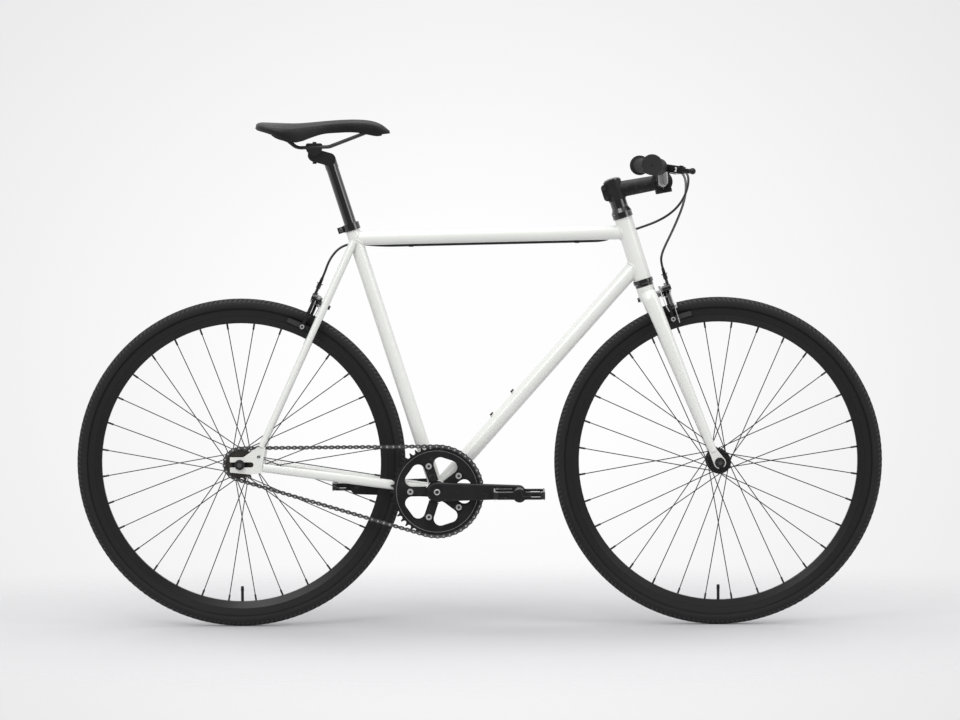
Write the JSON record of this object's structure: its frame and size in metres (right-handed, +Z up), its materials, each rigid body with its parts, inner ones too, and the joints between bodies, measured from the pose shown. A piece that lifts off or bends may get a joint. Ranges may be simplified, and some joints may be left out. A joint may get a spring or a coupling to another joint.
{
  "type": "fixed gear bicycle",
  "caption": "Fixed gear bicycle with an off-white diamond frame, black deep-rim spoked wheels, riser bar, rim brakes with hand levers, chain drive and platform pedals.",
  "frame": {"origin": "on the ground under the middle of the wheelbase, on the bicycle's centre plane", "axes": "+X forward, +Y to the rider's left, +Z up; the chain is on the -Y side"},
  "size_m": [1.663, 0.5468, 1.0459],
  "materials": {
    "frame_paint": "gloss off-white paint",
    "black_alloy": "satin black anodised",
    "gloss_alloy": "gloss black",
    "pedal_alloy": "black with bright machined edges",
    "dark_steel": "black oxide",
    "bright_steel": "bright",
    "tyre_rubber": "matte",
    "grip_rubber": "matte ribbed",
    "saddle_vinyl": "satin",
    "black_plastic": "matte",
    "cable_black": "gloss"
  },
  "bodies": {
    "frame": {"head_tube": "frame_paint", "top_tube": "frame_paint", "down_tube": "frame_paint", "seat_tube": "frame_paint", "bottom_bracket_shell": "frame_paint", "chain_stays": "frame_paint", "seat_stays": "frame_paint", "track_ends": "frame_paint", "headset_cups": "black_alloy", "bottom_bracket_cups": "dark_steel", "seat_collar": "black_alloy", "rear_axle": "dark_steel", "rear_brake_bracket": "black_alloy", "rear_brake_cable": "cable_black", "cable_clips": "black_plastic", "bottle_bolts": "bright_steel", "chain": "dark_steel"},
    "steering": {"fork": "frame_paint", "headset_races": "black_alloy", "headset_spacers": "black_alloy", "stem": "black_alloy", "stem_faceplate": "black_alloy", "stem_bolts": "bright_steel", "stem_cap": "black_alloy", "handlebar": "gloss_alloy", "grips": "grip_rubber", "brake_lever_clamps": "black_alloy", "front_axle": "dark_steel", "front_brake_bracket": "black_alloy", "front_brake_cable": "cable_black"},
    "front_wheel": {"front_rim": "black_alloy", "front_tyre": "tyre_rubber", "front_spokes": "dark_steel", "front_hub": "black_alloy", "front_valve": "dark_steel"},
    "rear_wheel": {"rear_rim": "black_alloy", "rear_tyre": "tyre_rubber", "rear_spokes": "dark_steel", "rear_hub": "black_alloy", "rear_valve": "dark_steel", "rear_cog": "dark_steel"},
    "crankset": {"crank_spindle": "dark_steel", "crank_arm_right": "black_alloy", "crank_arm_left": "black_alloy", "chainring": "black_alloy", "chainring_bolts": "bright_steel", "pedal_axles": "dark_steel"},
    "right_pedal": {"pedal_right": "pedal_alloy"},
    "left_pedal": {"pedal_left": "pedal_alloy"},
    "right_lever": {"brake_lever_right": "black_alloy"},
    "left_lever": {"brake_lever_left": "black_alloy"},
    "front_inner_arm": {"front_brake_arm_right": "black_alloy"},
    "front_outer_arm": {"front_brake_arm_left": "black_alloy"},
    "rear_inner_arm": {"rear_brake_arm_left": "black_alloy"},
    "rear_outer_arm": {"rear_brake_arm_right": "black_alloy"},
    "seat_post": {"seatpost": "gloss_alloy"},
    "saddle": {"saddle_cover": "saddle_vinyl", "saddle_base": "black_plastic", "saddle_rails": "dark_steel", "saddle_clamp": "black_alloy"}
  },
  "joints": [
    {"name": "steering", "type": "hinge", "parent": "frame", "child": "steering", "pos_m": [0.29719, 0, 0.84166], "axis": [-0.2974, 0, 0.9548], "range_deg": [-70, 70], "deforming": ["rear_brake_cable"]},
    {"name": "front_wheel_spin", "type": "hinge", "parent": "steering", "child": "front_wheel", "pos_m": [0.4925, 0, 0.339], "axis": [0, 1, 0], "continuous": true},
    {"name": "rear_wheel_spin", "type": "hinge", "parent": "frame", "child": "rear_wheel", "pos_m": [-0.4925, 0, 0.339], "axis": [0, 1, 0], "continuous": true, "deforming": ["chain"]},
    {"name": "crank_spin", "type": "hinge", "parent": "frame", "child": "crankset", "pos_m": [-0.0884, 0, 0.281], "axis": [0, 1, 0], "continuous": true, "deforming": ["chain"]},
    {"name": "right_pedal_spin", "type": "hinge", "parent": "crankset", "child": "right_pedal", "pos_m": [0.0796, 0, 0.281], "axis": [0, 1, 0], "continuous": true},
    {"name": "left_pedal_spin", "type": "hinge", "parent": "crankset", "child": "left_pedal", "pos_m": [-0.2564, 0, 0.281], "axis": [0, 1, 0], "continuous": true},
    {"name": "right_lever", "type": "hinge", "parent": "steering", "child": "right_lever", "pos_m": [0.40769, -0.15106, 0.93885], "axis": [-0.1564, -0.0077, -0.9877], "range_deg": [0, 22], "stiffness_Nm_per_rad": 0.4, "springref_deg": -8.59},
    {"name": "left_lever", "type": "hinge", "parent": "steering", "child": "left_lever", "pos_m": [0.40769, 0.15106, 0.93885], "axis": [0.1564, -0.0077, 0.9877], "range_deg": [0, 22], "stiffness_Nm_per_rad": 0.4, "springref_deg": -8.59},
    {"name": "front_inner_arm", "type": "hinge", "parent": "steering", "child": "front_inner_arm", "pos_m": [0.38462, 0, 0.68874], "axis": [0.9548, 0, 0.2974], "range_deg": [0, 1.33], "deforming": ["front_brake_cable"]},
    {"name": "front_outer_arm", "type": "hinge", "parent": "steering", "child": "front_outer_arm", "pos_m": [0.38283, 0.021, 0.69447], "axis": [0.9548, 0, 0.2974], "range_deg": [-1.33, 0], "deforming": ["front_brake_cable"]},
    {"name": "rear_inner_arm", "type": "hinge", "parent": "frame", "child": "rear_inner_arm", "pos_m": [-0.33798, 0, 0.67095], "axis": [-0.9108, 0, 0.4128], "range_deg": [0, 1.33], "deforming": ["rear_brake_cable"]},
    {"name": "rear_outer_arm", "type": "hinge", "parent": "frame", "child": "rear_outer_arm", "pos_m": [-0.33551, -0.021, 0.67642], "axis": [-0.9108, 0, 0.4128], "range_deg": [-1.33, 0], "deforming": ["rear_brake_cable"]},
    {"name": "seatpost_slide", "type": "slide", "parent": "frame", "child": "seat_post", "axis": [-0.3057, 0, 0.9521], "range_m": [-0.08, 0.04]},
    {"name": "saddle_tilt", "type": "hinge", "parent": "seat_post", "child": "saddle", "pos_m": [-0.33814, 0, 0.98852], "axis": [0, 1, 0], "range_deg": [-10, 10]}
  ],
  "couplings": [
    {"joint": "crank_spin", "follows": "rear_wheel_spin", "ratio": 0.34783},
    {"joint": "front_inner_arm", "follows": "left_lever", "ratio": 0.06},
    {"joint": "front_outer_arm", "follows": "left_lever", "ratio": -0.06},
    {"joint": "rear_inner_arm", "follows": "right_lever", "ratio": 0.06},
    {"joint": "rear_outer_arm", "follows": "right_lever", "ratio": -0.06}
  ]
}
